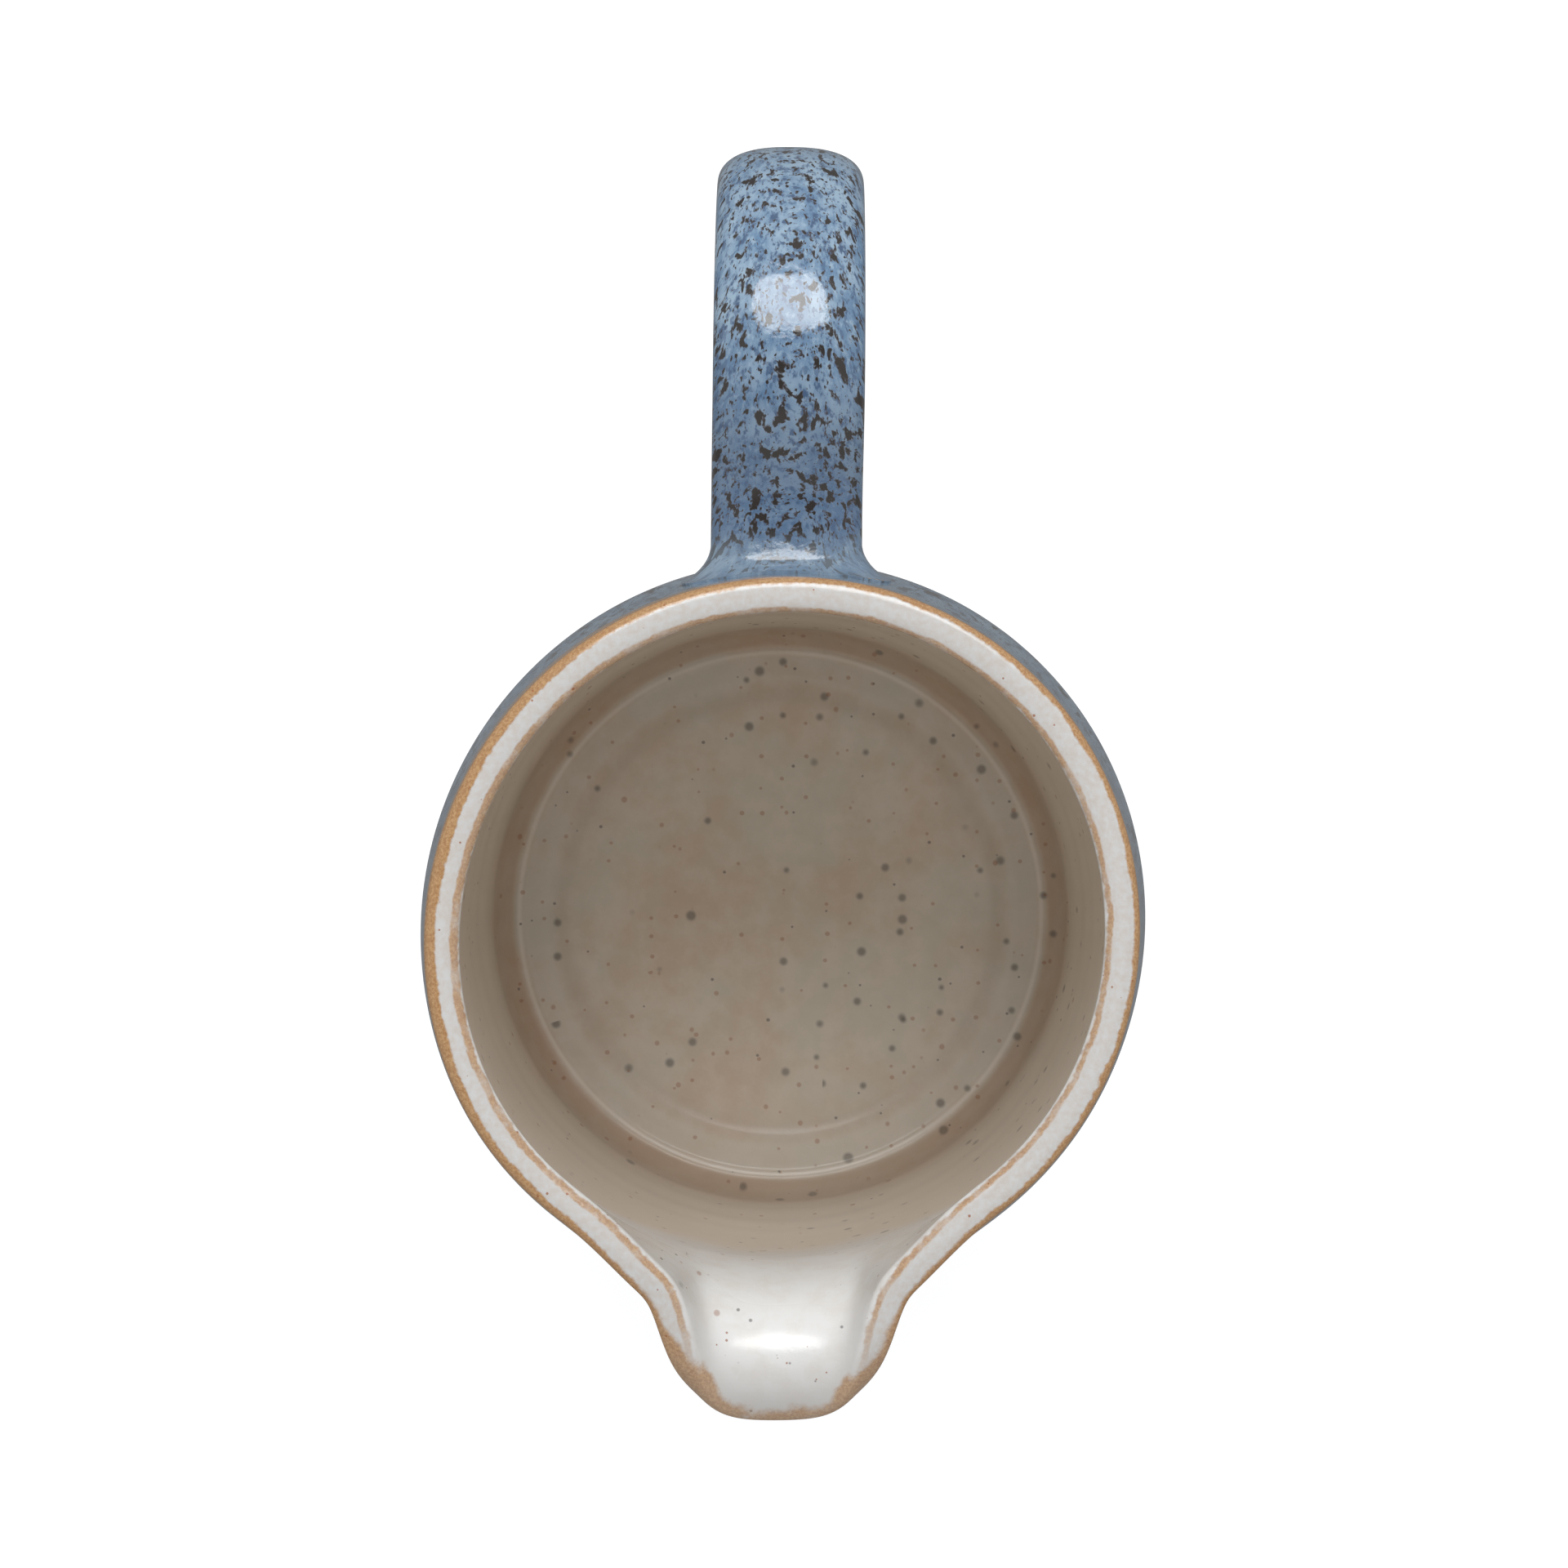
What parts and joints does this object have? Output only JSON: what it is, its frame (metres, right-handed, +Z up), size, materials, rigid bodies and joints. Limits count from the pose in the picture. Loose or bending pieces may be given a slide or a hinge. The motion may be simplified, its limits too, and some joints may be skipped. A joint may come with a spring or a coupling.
{
  "type": "pitcher",
  "caption": "Round stoneware pitcher: barrel body with a pulled pouring spout, a strap handle opposite it, a cream lining glaze and a speckled blue outer glaze.",
  "frame": {"origin": "centre of the foot ring's resting face, on the body's axis", "axes": "+Z up out of the mouth, -Y towards the spout's tip, +Y towards the handle, +X to the right when looking from the spout towards the handle"},
  "size_m": [0.1134, 0.194, 0.1451],
  "materials": {
    "stoneware": "bare fired clay, matt, toasted brown",
    "cream_glaze": "glossy cream glaze with fine iron specks",
    "blue_glaze": "glossy mottled blue glaze with dark streaked specks"
  },
  "bodies": {
    "root": {"body": "stoneware", "foot_ring": "stoneware", "spout": "stoneware", "handle": "stoneware", "upper_handle_joint": "stoneware", "lower_handle_joint": "stoneware", "liner_glaze": "cream_glaze", "spout_liner_glaze": "cream_glaze", "outer_glaze": "blue_glaze", "spout_outer_glaze": "blue_glaze", "handle_glaze": "blue_glaze"}
  },
  "joints": []
}
